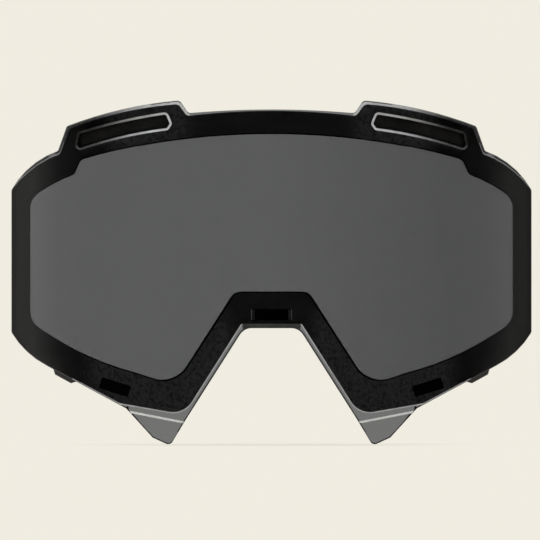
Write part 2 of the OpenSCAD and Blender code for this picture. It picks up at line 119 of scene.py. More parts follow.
WINDOW_HALF = [
    (VENT_OUT - 4.8, LENS_H - 20, 2.7, 0), (VENT_OUT - 2.6, LENS_H - 25, 1.7, 0.75),
    (WINDOW_SIDE, SIDE_TOP - 3.3, 6, 0), (WINDOW_SIDE, CHEEK + 3.9, 6, 2),
    (45.5, 24.35, 40, 0), (32.5, 20.1, 9.5, 0), (NOSE_HALF_W + 2.9, NOSE_Z + 12.3, 3.7, 0),
]
VENT = [
    (VENT_IN + 4.7, LENS_H - 5, 0.9, 0.6), (VENT_OUT - 4.4, LENS_H - 11.4, 0.9, 0),
    (VENT_OUT - 3.3, LENS_H - 16.4, 1, -0.8), (VENT_IN + 4.4, LENS_H - 9.5, 0.7, 0),
    (VENT_IN + 3.4, LENS_H - 8.1, 0.7, 0),
]
TIP_CREASE = [(47.6, 11.5), (29.3, 8.0)]
TIP_STEP = 0.6

# ---------------------------------------------------------------- outlines


def unit(x, z):
    length = math.hypot(x, z)
    return x / length, z / length


def smooth(value, start, end):
    t = max(0.0, min(1.0, (value - start) / (end - start)))
    return t * t * (3 - 2 * t)


def turned(x, z, angle):
    c, s = math.cos(angle), math.sin(angle)
    return x * c - z * s, x * s + z * c


def both(half, top_bulge):
    """Both halves of an outline, clockwise seen from the front."""
    left = [(-half[i][0], half[i][1], half[i][2], top_bulge if i == 0 else half[i - 1][3])
            for i in range(len(half) - 1, -1, -1)]
    return half + left


def arc_points(a, b, bulge, step):
    """Inner points of the arc, or of the straight edge, from a to b."""
    chord = math.hypot(b[0] - a[0], b[1] - a[1])
    count = max(1, math.ceil(chord / step))
    if not bulge:
        return [(a[0] + (b[0] - a[0]) * k / count, a[1] + (b[1] - a[1]) * k / count) for k in range(1, count)]
    half = 2 * math.atan(2 * bulge / chord)
    r = chord / 2 / math.sin(half)
    u = unit(b[0] - a[0], b[1] - a[1])
    out = []
    for k in range(1, count):
        t = half * (2 * k / count - 1)
        along, rise = r * math.sin(t), r * math.cos(t) - r + bulge
        out.append(((a[0] + b[0]) / 2 + u[0] * along - u[1] * rise,
                    (a[1] + b[1]) / 2 + u[1] * along + u[0] * rise))
    return out


def fillet(p, c, q, r, turn_step):
    """Points that round the corner c between p and q."""
    a, b = unit(p[0] - c[0], p[1] - c[1]), unit(q[0] - c[0], q[1] - c[1])
    angle = math.acos(max(-1, min(1, a[0] * b[0] + a[1] * b[1])))
    if angle > math.radians(178):
        return [c]
    t = min(r / math.tan(angle / 2), 0.98 * math.dist(p, c), 0.98 * math.dist(q, c))
    m = unit(a[0] + b[0], a[1] + b[1])
    o = (c[0] + m[0] * t / math.cos(angle / 2), c[1] + m[1] * t / math.cos(angle / 2))
    s = (c[0] + a[0] * t - o[0], c[1] + a[1] * t - o[1])
    e = (c[0] + b[0] * t - o[0], c[1] + b[1] * t - o[1])
    w = math.atan2(s[0] * e[1] - s[1] * e[0], s[0] * e[0] + s[1] * e[1])
    n = max(2, math.ceil(abs(w) / turn_step))
    return [(o[0] + x, o[1] + z) for x, z in (turned(s[0], s[1], w * k / n) for k in range(n + 1))]


def outline(corners, step=2.0, turn_step=math.radians(12)):
    """All points of an outline: rounded corners, arcs, and straight edges cut into short steps."""
    n = len(corners)
    coarse = 5.0
    arcs = [arc_points(corners[i], corners[(i + 1) % n], corners[i][3], coarse) if corners[i][3] else []
            for i in range(n)]
    points = []
    for i, c in enumerate(corners):
        before, after = arcs[i - 1], arcs[i]
        p = before[-1] if before else corners[i - 1][:2]
        q = after[0] if after else corners[(i + 1) % n][:2]
        points += fillet(p[:2], c[:2], q[:2], c[2], turn_step) + after
    dense = []
    for i, p in enumerate(points):
        q = points[(i + 1) % len(points)]
        dense += [p] + arc_points(p, q, 0, step)
    return dense


def edge_dir(a, b, bulge, at_end):
    u = unit(b[0] - a[0], b[1] - a[1])
    h = 2 * math.atan(2 * bulge / math.dist(a[:2], b[:2]))
    return turned(u[0], u[1], -h if at_end else h)


def grown(corners, d):
    """Corners moved outward by d, edge by edge, or inward where d is negative."""
    n = len(corners)
    out = []
    for i, c in enumerate(corners):
        p, q = corners[i - 1], corners[(i + 1) % n]
        e1, e2 = edge_dir(p, c, p[3], True), edge_dir(c, q, c[3], False)
        n1, n2 = (-e1[1], e1[0]), (-e2[1], e2[0])
        k = d / (1 + n1[0] * n2[0] + n1[1] * n2[1])
        convex = e1[0] * e2[1] - e1[1] * e2[0] < 0
        out.append((c[0] + (n1[0] + n2[0]) * k, c[1] + (n1[1] + n2[1]) * k,
                    max(c[2] + (d if convex else -d), 0.15), c[3]))
    return out


def clipped(points, w):
    """Points held within w of the middle, without the ones that then fall together."""
    out = []
    for x, z in points:
        p = (max(-w, min(w, x)), z)
        if not out or math.dist(out[-1], p) > 0.05:
            out.append(p)
    return out


def flipped(corners):
    """The mirrored outline, kept clockwise."""
    n = len(corners)
    return [(-corners[i][0], corners[i][1], corners[i][2], corners[i - 1][3]) for i in range(n - 1, -1, -1)]


LENS = both(LENS_HALF, 1.2)
BAND = both(BAND_HALF, 1.7)
WINDOW = both(WINDOW_HALF, 8.4)
# The CAD model stands on the lowest points of its tips, which are rounded like this
CAD_TIP = [(40.2, 2.2), (34.1, -0.5), (28.8, 8.4)]
CAD_TIP_R = 1.7
LOW_Z = min(z for _, z in fillet(*CAD_TIP, CAD_TIP_R, math.radians(15)))


def normals(points):
    """Outward direction at each point, stretched so that offset edges stay parallel."""
    n = len(points)
    out = []
    for i, c in enumerate(points):
        p, q = points[i - 1], points[(i + 1) % n]
        e1, e2 = unit(c[0] - p[0], c[1] - p[1]), unit(q[0] - c[0], q[1] - c[1])
        x, z = -e1[1] - e2[1], e1[0] + e2[0]
        k = 1 + e1[0] * e2[0] + e1[1] * e2[1]
        out.append((x / k, z / k))
    return out


def inside(p, points):
    hit = False
    for i, a in enumerate(points):
        b = points[i - 1]
        if (a[1] > p[1]) != (b[1] > p[1]):
            if p[0] < (b[0] - a[0]) * (p[1] - a[1]) / (b[1] - a[1]) + a[0]:
                hit = not hit
    return hit


# ---------------------------------------------------------------- walls bent round an upright axis


def on_face(x, z, r):
    """A point at x, z on the radius r about the face axis."""
    return x, wall_y(x, r, FACE_AXIS), z


def grid_inside(contours, step_x, step_z):
    """Points of a grid inside the first contour and outside the others, not close to any of them."""
    outer = contours[0]
    gap = 0.6 * min(step_x, step_z)
    cells = {}
    for c in contours:
        for p in c:
            cells.setdefault((int(p[0] // gap), int(p[1] // gap)), []).append(p)
    xs, zs = [p[0] for p in outer], [p[1] for p in outer]
    nx, nz = int((max(xs) - min(xs)) / step_x), int((max(zs) - min(zs)) / step_z)
    out = []
    for i in range(1, nx):
        for j in range(1, nz):
            p = (min(xs) + (max(xs) - min(xs)) * i / nx, min(zs) + (max(zs) - min(zs)) * j / nz)
            u, v = int(p[0] // gap), int(p[1] // gap)
            near = [q for du in (-1, 0, 1) for dv in (-1, 0, 1) for q in cells.get((u + du, v + dv), ())]
            if any(math.dist(p, q) < gap for q in near):
                continue
            if inside(p, outer) and not any(inside(p, h) for h in contours[1:]):
                out.append(p)
    return out


def triangulated(contours, extra):
    """Triangles between the contours. Returns all points, the contours' first, and the triangles."""
    points, edges = [], []
    contours = [[tuple(Vector(p)) for p in c] for c in contours]     # single precision, as the triangles are
    for c in contours:
        first = len(points)
        points += c
        edges += [(first + i, first + (i + 1) % len(c)) for i in range(len(c))]
    count = len(points)
    points = points + extra
    verts, _, faces, origin, _, _ = geometry.delaunay_2d_cdt([Vector(p) for p in points], edges, [], 0, 1e-6)
    number = {}
    for i, names in enumerate(origin):
        if names:
            number[i] = min(names)
    out_points = list(points)
    tris = []
    for f in faces:
        m = (sum(verts[i].x for i in f) / 3, sum(verts[i].y for i in f) / 3)
        if not inside(m, contours[0]) or any(inside(m, h) for h in contours[1:]):
            continue
        for i in f:
            if i not in number:
                number[i] = len(out_points)
                out_points.append(tuple(verts[i]))
        tris.append([number[i] for i in f])
    return out_points, tris, count


SMOKE, RIM, SIDE, LINE, CREASE, NOSE = range(6)      # the lens's material slots
NARROW = 0.7                 # share of the full rim below which the rim is dark and has no line beside it
LINE_ROOM = 0.5              # about the room that given points of a face are left by its grid


def sheet_mesh(name, contours, profiles, place, step=(2.0, 6.0), lines=(), slots=None, scale=None):
    """A closed wall bounded by contours, bent by place(x, z, r).
    Each profile has a contour's steps from its front rim to its back rim: (outward offset, radius).
    lines are further points of the front face, slots the material of each step by contour, and scale
    the outer rim's share of its width by place."""
    verts, faces, marks = [], [], []
    flats, starts = [], []
    for k, (points, profile) in enumerate(zip(contours, profiles)):
        out = normals(points)
        size = [scale(*p) if scale and k == 0 else 1 for p in points]
        rings = []
        for d, r in profile:
            ring = [(p[0] + o[0] * d * w, p[1] + o[1] * d * w) for p, o, w in zip(points, out, size)]
            rings.append((len(verts), ring))
            verts += [place(x, z, r) for x, z in ring]
        for step_no, (a, b) in enumerate(zip(rings[:-1], rings[1:])):
            for i in range(len(points)):
                j = (i + 1) % len(points)
                quad = (a[0] + i, a[0] + j, b[0] + j, b[0] + i)
                faces.append(quad if k == 0 else quad[::-1])
                slot = slots[k][step_no] if slots else 0
                marks.append(SIDE if size[i] < NARROW else slot)
        flats.append((rings[0][1], rings[-1][1]))
        starts.append((rings[0][0], rings[-1][0]))
    for end in (0, 1):
        flat = [f[end] for f in flats]
        extra = grid_inside(flat, *step)
        if end == 0 and lines:
            taken = {(int(x // LINE_ROOM) + i, int(z // LINE_ROOM) + j)
                     for x, z in lines for i in (-1, 0, 1) for j in (-1, 0, 1)}
            extra = [p for p in extra if (int(p[0] // LINE_ROOM), int(p[1] // LINE_ROOM)) not in taken]
            extra += lines
        r = profiles[0][-end][1]
        points, tris, count = triangulated(flat, extra)
        number = [s[end] + i for s, c in zip(starts, flat) for i in range(len(c))]
        for x, z in points[count:]:
            number.append(len(verts))
            verts.append(place(x, z, r))
        for f in tris:
            ids = [number[i] for i in f]
            faces.append(tuple(ids if end == 0 else ids[::-1]))
            marks.append(0)
    return make_mesh(name, verts, faces, marks if slots else None)


def make_mesh(name, verts, faces, marks=None, sharp=35):
    """A mesh object from points in millimetres, shaded smooth up to the given angle."""
    mesh = bpy.data.meshes.new(name)
    mesh.from_pydata([(x * MM, y * MM, (z - LOW_Z) * MM) for x, y, z in verts], [], faces)
    mesh.validate()
    for p in mesh.polygons:
        p.use_smooth = True
    if marks:
        for p, m in zip(mesh.polygons, marks):
            p.material_index = m
    mesh.set_sharp_from_angle(angle=math.radians(sharp))
    obj = bpy.data.objects.new(name, mesh)
    bpy.context.scene.collection.objects.link(obj)
    return obj


def dress(obj, body, slot, materials, *nodes):
    """Gives a piece its materials, its body and the CAD nodes it stands for; slot, the piece's finish, is not
    used.
    """
    for m in materials:
        obj.data.materials.append(m)
    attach(obj, body)
    if nodes:
        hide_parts(*nodes)
    return obj


# ---------------------------------------------------------------- materials


def add_node(tree, kind, inputs=None, **settings):
    """A new node with its settings made, and each input linked to a socket or set to a value."""
    n = tree.nodes.new(kind)
    for key, value in settings.items():
        setattr(n, key, value)
    for key, value in (inputs or {}).items():
        if isinstance(value, bpy.types.NodeSocket):
            tree.links.new(value, n.inputs[key])
        else:
            n.inputs[key].default_value = value
    return n


def math_node(tree, operation, a, b=0.0):
    return add_node(tree, "ShaderNodeMath", {0: a, 1: b}, operation=operation).outputs[0]


def mixed(tree, factor, a, b, blend="MIX"):
    """Colour a mixed with b by the factor."""
    inputs = {"Factor": factor, "A": a, "B": b}
    return add_node(tree, "ShaderNodeMix", inputs, data_type="RGBA", blend_type=blend).outputs["Result"]


class Shader:
    """A material's node tree with a Principled BSDF, built by short calls."""

    def __init__(self, name, **sockets):
        self.material = bpy.data.materials.new(name)
        self.material.use_nodes = True
        self.tree = self.material.node_tree
        self.bsdf = next(n for n in self.tree.nodes if n.type == "BSDF_PRINCIPLED")
        for key, value in sockets.items():
            self.bsdf.inputs[key.replace("_", " ")].default_value = value
        self.place = self.add("ShaderNodeTexCoord").outputs["Object"]

    def add(self, kind, inputs=None, **settings):
        return add_node(self.tree, kind, inputs, **settings)

    def noise(self, size, detail=3.0, rough=0.55, stretch=(1, 1, 1)):
        """Noise whose features are about size millimetres."""
        m = self.add("ShaderNodeMapping", {"Vector": self.place, "Scale": stretch})
        inputs = {"Vector": m.outputs[0], "Scale": 1 / (size * MM), "Detail": detail, "Roughness": rough}
        return self.add("ShaderNodeTexNoise", inputs).outputs[0]

    def axis(self, name):
        return self.add("ShaderNodeSeparateXYZ", {0: self.place}).outputs[name]

    def fade(self, value, start, end):
        """0 to 1 as value, in millimetres, goes from start to end."""
        inputs = {0: value, 1: start * MM, 2: end * MM}
        return self.add("ShaderNodeMapRange", inputs, interpolation_type="SMOOTHSTEP").outputs[0]

    def zone(self, value, a, b, c=None, d=None):
        """1 where value, in millimetres, lies between b and c, fading to 0 at a and d."""
        up = self.fade(value, a, b)
        return up if c is None else self.math("MULTIPLY", up, self.fade(value, d, c))

    def cells(self, size, feature="F1"):
        inputs = {"Vector": self.place, "Scale": 1 / (size * MM)}
        return self.add("ShaderNodeTexVoronoi", inputs, feature=feature).outputs["Distance"]

    def ramp(self, value, low, high, start=0.35, end=0.65):
        """A number or colour that goes from low to high as value goes from start to end."""
        grey = isinstance(low, (int, float))
        r = self.add("ShaderNodeValToRGB", {"Fac": value})
        for stop, at, tone in zip(r.color_ramp.elements, (start, end), (low, high)):
            stop.position = at
            stop.color = (tone, tone, tone, 1) if grey else (*tone, 1)
        return r.outputs[0]

    def math(self, operation, a, b=0.0):
        return math_node(self.tree, operation, a, b)

    def bump(self, height, depth, strength=1.0, normal=None):
        inputs = {"Height": height, "Distance": depth * MM, "Strength": strength}
        if normal is not None:
            inputs["Normal"] = normal
        return self.add("ShaderNodeBump", inputs).outputs[0]

    def edge_share(self, edge_tone=0.35):
        """0 on faces and 1 on sharp outer edges."""
        point = self.add("ShaderNodeNewGeometry").outputs["Pointiness"]
        return self.ramp(point, 0.0, edge_tone, 0.505, 0.56)

    def set(self, **sources):
        for key, value in sources.items():
            self.tree.links.new(value, self.bsdf.inputs[key.replace("_", " ")])
        return self.material


def grey(v):
    return (v, v, v, 1)


def clear_plastic(name, tint, ior, fade=1.0):
    """Clear tinted plastic, its tint deeper by fade towards the right, with faint smudges."""
    s = Shader(name, Transmission_Weight=1.0, IOR=ior)
    smudge = s.noise(6, 5, 0.65)
    across = s.add("ShaderNodeMapRange", {0: s.axis("X"), 1: 0.0, 2: 0.062}).outputs[0]
    patch = s.math("ADD", across, s.math("MULTIPLY", s.noise(38, 2), 0.08))
    return s.set(Base_Color=s.ramp(patch, tint, tuple(fade * c for c in tint), 0.04, 1.0),
                 Roughness=s.ramp(smudge, 0.004, 0.016, 0.45, 0.75))


def moulded(name, low, high, rough=0.5, grain=0.35, depth=0.012, edge_tone=0.03, specular=0.5):
    """Matte moulded plastic or rubber: fine grain, uneven tone and lighter outer edges."""
    s = Shader(name, Specular_IOR_Level=specular)
    tone = s.ramp(s.noise(9, 4), grey(low)[:3], grey(high)[:3], 0.3, 0.7)
    colour = mixed(s.tree, s.edge_share(0.8), tone, grey(edge_tone))
    fine = s.noise(grain, 2, 0.5)
    return s.set(Base_Color=colour, Roughness=s.ramp(fine, rough - 0.07, rough + 0.1),
                 Normal=s.bump(fine, depth))


def foam(name, low, high, cell, depth, patch=7.0, sheen=0.0):
    """Open or closed cell foam: pores darkened partly as real holes and partly with painted shade, mottled
    tone and a cellular surface.
    """
    s = Shader(name, Specular_IOR_Level=0.15, Sheen_Weight=sheen, Sheen_Roughness=0.6)
    pore = s.cells(cell)
    fine = s.noise(cell * 0.6, 3, 0.6)
    mottle = s.ramp(s.noise(patch, 4), low, high, 0.3, 0.7)
    # The pores' dark tone is partly the foam's real holes and partly painted shade inside them.
    mix = s.math("MULTIPLY", s.ramp(pore, 0.45, 1.0, 0.05, 0.45), mottle)
    tone = s.add("ShaderNodeCombineColor", {0: mix, 1: mix, 2: mix}).outputs[0]
    rough = s.ramp(fine, 0.8, 0.98)
    return s.set(Base_Color=tone, Roughness=rough, Normal=s.bump(fine, depth * 0.5, 0.7, s.bump(pore, depth)))


lens_smoke = clear_plastic("lens_smoke", (0.207, 0.215, 0.236), LENS_IOR, 0.97)
pane_smoke = clear_plastic("pane_smoke", (0.655, 0.66, 0.67), 1.49, 0.8)


def painted_edge_highlight(name, low, high, near=None):
    """Painted highlight on the lens's edges; where near is given the highlight is painted darker between
    those distances from the middle.
    """
    s = Shader(name, Specular_IOR_Level=0.5)
    tone = s.ramp(s.noise(3.5, 4), *[(0.96 * v, 0.985 * v, 1.04 * v) for v in (low, high)])
    if near:
        share = s.ramp(s.zone(s.math("ABSOLUTE", s.axis("X")), near[1], near[0]), 0.06, 1.0, 0.0, 1.0)
        tone = mixed(s.tree, 1.0, tone, share, "MULTIPLY")
    return s.set(Base_Color=tone, Roughness=s.ramp(s.noise(1.2, 3), 0.18, 0.36))


# Painted highlight: lens_rim brightens the vents' rims and the top line, and is painted fading towards the
# sides.
lens_rim = painted_edge_highlight("lens_rim", 0.38, 0.52, (38, 61))
# Painted highlight: lens_line is the bright bevel line beside the gasket.
lens_line = painted_edge_highlight("lens_line", 0.3, 0.43)
# Painted highlight: lens_crease is the bright line along each tip's crease.
lens_crease = painted_edge_highlight("lens_crease", 0.68, 0.84)
s = Shader("lens_side", Specular_IOR_Level=0.5)
lens_side = s.set(Base_Color=s.ramp(s.noise(2.5, 4), (0.008, 0.008, 0.009), (0.02, 0.02, 0.022)),
                  Roughness=s.ramp(s.noise(0.8, 3), 0.2, 0.4),
                  Normal=s.bump(s.noise(0.5, 3, 0.6, (1, 1, 6)), 0.02))
# Painted dark reflection: lens_nose darkens the nose cut's edge and the clear strip above the nose.
s = Shader("lens_nose", Specular_IOR_Level=0.1)
lens_nose = s.set(Base_Color=s.ramp(s.noise(2.5, 4), (0.03, 0.031, 0.032), (0.046, 0.047, 0.049)),
                  Roughness=s.ramp(s.noise(0.8, 3), 0.4, 0.6))


def gasket_material():
    """Charcoal foam, mottled and flecked beside the nose and under the vents, plain elsewhere, with painted
    shade that darkens the plain foam towards the sides and every face that doesn't face the front.
    """
    s = Shader("gasket_foam", Specular_IOR_Level=0.15)
    x, z = s.math("ABSOLUTE", s.axis("X")), s.axis("Z")
    nose = s.math("MULTIPLY", s.zone(x, 11, 17, 56, 66), s.zone(z, 0, 1, 38, 50))
    vents = s.math("MULTIPLY", s.zone(x, 24, 32, 48, 58), s.zone(z, 92, 98))
    zone = s.math("MAXIMUM", nose, vents)
    blotch = s.ramp(s.noise(1.1, 5, 0.8), 0.4, 1.0, 0.4, 0.52)
    mottled = s.math("MULTIPLY", blotch, s.ramp(s.cells(0.9), 1.0, 0.82, 0.1, 0.5))
    # Painted shade: the plain foam is darker towards the sides, where the band turns away from the light.
    plain = s.math("MULTIPLY", s.ramp(s.noise(5, 4), 0.22, 0.32, 0.3, 0.7),
                   s.ramp(s.zone(x, 42, 64), 1.0, 0.4, 0.0, 1.0))
    normal = s.add("ShaderNodeNewGeometry").outputs["Normal"]
    facing = s.math("MULTIPLY", s.add("ShaderNodeSeparateXYZ", {0: normal}).outputs["Y"], -1.0)
    front = s.ramp(facing, 0.0, 1.0, 0.4, 0.6)
    share = s.math("MULTIPLY", zone, front)
    tone = s.add("ShaderNodeMix", {"Factor": share, "A": plain, "B": mottled}).outputs["Result"]
    # Painted shade: faces that don't face the front, such as the holes' walls and the outer edge, are
    # darkened.
    tone = s.math("MULTIPLY", tone, s.ramp(front, 0.25, 1.0, 0.0, 1.0))
    colour = s.add("ShaderNodeCombineColor", {0: tone, 1: s.math("MULTIPLY", tone, 0.97),
                                              2: s.math("MULTIPLY", tone, 0.9)}).outputs[0]
    fine = s.noise(0.35, 3, 0.6)
    return s.set(Base_Color=colour, Roughness=s.ramp(fine, 0.8, 0.98),
                 Normal=s.bump(fine, 0.05, 0.7, s.bump(s.cells(0.55), 0.1)))


gasket_foam = gasket_material()
# Painted shade: gasket_edge on the window's chamfer and walls is a dark line where the wall lies in shade.
gasket_edge = foam("gasket_edge", 0.02, 0.035, 0.5, 0.08)
vent_mesh = foam("vent_foam", 0.006, 0.012, 0.7, 0.25)
filter_mesh = foam("filter_foam", 0.02, 0.035, 0.8, 0.25)
carrier_plastic = moulded("carrier_plastic", 0.014, 0.022)
tab_rubber = moulded("tab_rubber", 0.02, 0.03, 0.62, 0.5, 0.02, 0.05)
magnet_coat = moulded("magnet_coat", 0.0006, 0.0012, 0.55, 0.3, 0.006, 0.002, 0.2)
clip_plastic = moulded("clip_plastic", 0.2, 0.27, 0.35, 0.6, 0.008, 0.7)
frame_plastic = moulded("frame_plastic", 0.014, 0.021, 0.48, 0.32, 0.015, 0.04)
plate_plastic = moulded("plate_plastic", 0.017, 0.026, 0.5, 0.32, 0.012, 0.04)
outrigger_plastic = moulded("outrigger_plastic", 0.016, 0.023, 0.45, 0.3, 0.014, 0.045)
firm_foam = foam("firm_foam", 0.035, 0.055, 0.35, 0.08)
soft_foam = foam("soft_foam", 0.014, 0.026, 0.8, 0.2)
fleece = foam("fleece", 0.035, 0.06, 0.45, 0.16, 3.0, 0.35)
s = Shader("steel", Metallic=1.0)
steel = s.set(Base_Color=s.ramp(s.noise(4, 3), (0.42, 0.42, 0.43), (0.58, 0.58, 0.6)),
              Roughness=s.ramp(s.noise(0.4, 3, 0.6, (1, 1, 0.08)), 0.22, 0.42))

# ---------------------------------------------------------------- the lens unit

STEP = 1.6                   # along an outline
RIM_IN = 0.4                 # width of the rim's slope in the front face
TIPS_BELOW = 15              # height below which the lens is its two tips
VENTS_ABOVE = 90             # height above which the vents lie
CREASE_W = 0.72
LINE_IN, LINE_OUT = 0.02, 0.42       # fine line of painted highlight in the lens's face, just outside the gasket
vent_right = outline(VENT, 1.2, math.radians(10))
vent_left = outline(flipped(VENT), 1.2, math.radians(10))


def below_crease(x, z):
    """Distance of a point below the crease line of the tip on its side."""
    (x0, z0), (x1, z1) = TIP_CREASE
    u = unit(x0 - x1, z0 - z1)
    return (abs(x) - x1) * u[1] - (z - z1) * u[0]


def with_crossings(points):
    """The outline's points, with further ones where its front rim crosses the borders of a crease."""
    out = []
    for i, p in enumerate(points):
        q = points[(i + 1) % len(points)]
        out.append(p)
        if max(p[1], q[1]) > TIPS_BELOW:
            continue
        u = unit(q[0] - p[0], q[1] - p[1])
        cuts = []
        for border in (0, CREASE_W):
            a, b = (below_crease(e[0] + RIM_IN * u[1], e[1] - RIM_IN * u[0]) - border for e in (p, q))
            if a * b < 0:
                cuts.append(a / (a - b))
        out += [(p[0] + (q[0] - p[0]) * k, p[1] + (q[1] - p[1]) * k) for k in sorted(cuts) if 0.08 < k < 0.92]
    return out


lens_outline = with_crossings(outline(LENS, STEP))


def edge_distance(p, points):
    """Distance of a point from an outline, positive outside."""
    best = 1e9
    for i, b in enumerate(points):
        a = points[i - 1]
        ux, uz = b[0] - a[0], b[1] - a[1]
        t = max(0.0, min(1.0, ((p[0] - a[0]) * ux + (p[1] - a[1]) * uz) / (ux * ux + uz * uz)))
        best = min(best, (p[0] - a[0] - t * ux) ** 2 + (p[1] - a[1] - t * uz) ** 2)
    return math.sqrt(best) * (-1 if inside(p, points) else 1)


band_outline = outline(BAND, STEP)
window_outline = outline(WINDOW, STEP)


def lens_place(x, z, r):
    """The lens's wall, whose front steps back below the crease of each tip."""
    if r > LENS_R - 1.5:
        r -= TIP_STEP * max(0.0, min(1.0, below_crease(x, z) / CREASE_W))
    return x, wall_y(x, r, LENS_AXIS), z


def crease_line(offset, side):
    """The crease across a tip, offset millimetres below it, cut into short steps."""
    (x0, z0), (x1, z1) = TIP_CREASE
    u = unit(x0 - x1, z0 - z1)
    a = (x1 + u[1] * offset - 3 * u[0], z1 - u[0] * offset - 3 * u[1])
    b = (x0 + u[1] * offset + 3 * u[0], z0 - u[0] * offset + 3 * u[1])
    return [(side * x, z) for x, z in [a] + arc_points(a, b, 0, 0.7) + [b]]


NOSE_LOW_X = 28.5            # where the nose cut's sides end at the tips
NOSE_TOP = NOSE_Z + 3
THIN_RIM = 0.35              # share of the full rim's width that is left at the sides and the top
NOSE_EXTRA = 0.25            # share that is added round the nose cut


def rim_width(x, z):
    """Share of the full rim: narrow at the sides and at the middle of the top, wide round the nose cut."""
    side = max(0.0, min(1.0, (HALF_W - 3 - abs(x)) / 5)) if CHEEK - 6 < z < SIDE_TOP + 6 else 1.0
    top = 1.0 if z < VENTS_ABOVE else max(0.0, min(1.0, (abs(x) - VENT_IN + 5) / 3))
    nose = smooth(z, 11, 16) if abs(x) < NOSE_LOW_X and z < NOSE_TOP else 0.0
    return THIN_RIM + (1 - THIN_RIM) * min(side, top) + NOSE_EXTRA * nose


rim = [(-RIM_IN, LENS_R), (-0.18, LENS_R - 0.2), (-0.03, LENS_R - 0.55), (0, LENS_R - 0.9),
       (-0.04, LENS_R - 1.75), (-0.25, LENS_R - LENS_T)]
rim_slots = [SMOKE] + [SIDE] * 4
vent_slots = rim_slots + [SIDE]
vent_rim = [(0.8, LENS_R), (0.6, LENS_R - 0.14), (0.25, LENS_R - 0.46), (0.05, LENS_R - 0.66),
            (0, LENS_R - 1.1), (0, LENS_R - 1.6), (0.15, LENS_R - LENS_T)]
ROOM_IN = 0.6                # the lines' points keep this far inside the lens's edge, or its share
room = []
for p, o in zip(lens_outline, normals(lens_outline)):
    width = ROOM_IN * rim_width(*p)
    room.append((p[0] - width * o[0], p[1] - width * o[1]))
lines = [p for d in (0, CREASE_W) for side in (-1, 1) for p in crease_line(d, side)]
for d in (LINE_IN, LINE_OUT):
    lines += outline(grown(BAND, d), 0.8, math.radians(10))
LINE_STEP = 0.22             # least distance between the lines' points
clear = []
for p in lines:
    if inside(p, room) and not any(math.dist(p, q) < LINE_STEP for q in clear):
        clear.append(p)
lens = sheet_mesh("lens", [lens_outline, vent_right, vent_left], [rim, vent_rim, vent_rim], lens_place,
                  lines=clear, slots=[rim_slots, vent_slots, vent_slots], scale=rim_width)
VENT_RIM_W = 0.76            # width and depth of the vents' rim of painted highlight
VENT_RIM_DEPTH = 0.72
NOSE_EDGE = (0.05, 0.8)      # depths between which the nose cut's edge carries a painted dark reflection
FRONT_DEPTH = 1.2            # what is less deep, and not an edge, is the front face
TOP_LINE = (94, 0.4)         # height above which the line is wider, and by how much
TOLERANCE = 0.02
vent_zone = [outline(grown(VENT, VENT_RIM_W), 2), outline(flipped(grown(VENT, VENT_RIM_W)), 2)]


def lens_slot(x, z, depth, slot):
    """Material slot of a face of the lens by its place, its depth below the front and its first slot."""
    if z > VENTS_ABOVE and depth < VENT_RIM_DEPTH and any(inside((x, z), v) for v in vent_zone):
        return RIM
    if NOSE_EDGE[0] < depth < NOSE_EDGE[1] and abs(x) < NOSE_LOW_X and 9 < z < NOSE_Z + 1:
        return NOSE
    if slot != SMOKE or depth > FRONT_DEPTH:
        return slot
    gap = edge_distance((x, z), band_outline)
    if z < TIPS_BELOW and 0 < below_crease(x, z) < CREASE_W:
        return CREASE
    if gap > 0 and abs(x) < NOSE_HALF_W + 0.4 and 35 < z < NOSE_TOP:
        return NOSE
    high = z > TOP_LINE[0]
    line_out = LINE_OUT + (TOP_LINE[1] if high else TOLERANCE)
    if LINE_IN - TOLERANCE < gap < line_out and rim_width(x, z) > NARROW:
        if abs(x) < (VENT_OUT + 1 if high else LOW_EDGE - 8):
            return RIM if high else LINE
    return slot


for p in lens.data.polygons:
    c = p.center / MM
    depth = LENS_R - math.hypot(c.x, c.y - LENS_AXIS)
    p.material_index = lens_slot(c.x, c.z + LOW_Z, depth, p.material_index)
dress(lens, "lens_unit", "outer_lens", [lens_smoke, lens_rim, lens_side, lens_line, lens_crease, lens_nose],
      "outer_lens")

side_sin = WINDOW_SIDE / (GASKET_R - GASKET_T)
SLANT_X = (70, 80)           # between these the window's walls turn until they lie on a radius
SLANT_Z = (30, LENS_H - 28)  # the heights between which they do


def seen_shift(x):
    """How far the lens makes a point behind it look shifted to the side, seen square on."""
    a = math.asin(abs(x) / LENS_R)
    b = math.asin(math.sin(a) / LENS_IOR)
    return math.copysign(LENS_T * math.sin(a - b) / math.cos(b), x)


def gasket_place(x, z, r):
    """Behind the lens; the window's side walls lie on a radius, so they show."""
    if SLANT_X[0] < abs(x) < HALF_W - 4 and SLANT_Z[0] < z < SLANT_Z[1]:
        x += math.copysign((r - GASKET_R + GASKET_T) * side_sin * smooth(abs(x), *SLANT_X), x)
    return x, wall_y(x, r, LENS_AXIS), z


def seen_at(points):
    """Points behind the lens that look from the front as if they were at the given points."""
    return [(x - seen_shift(x), z) for x, z in points]


def box_outline(cx, cz, half_l, half_h, tilt=0.0, r=0.3):
    corners = [(-half_l, half_h, r, 0), (half_l, half_h, r, 0),
               (half_l, -half_h, r, 0), (-half_l, -half_h, r, 0)]
    points = outline(corners, 1.5, math.radians(30))
    return [(cx + x, cz + z) for x, z in (turned(x, z, tilt) for x, z in points)]


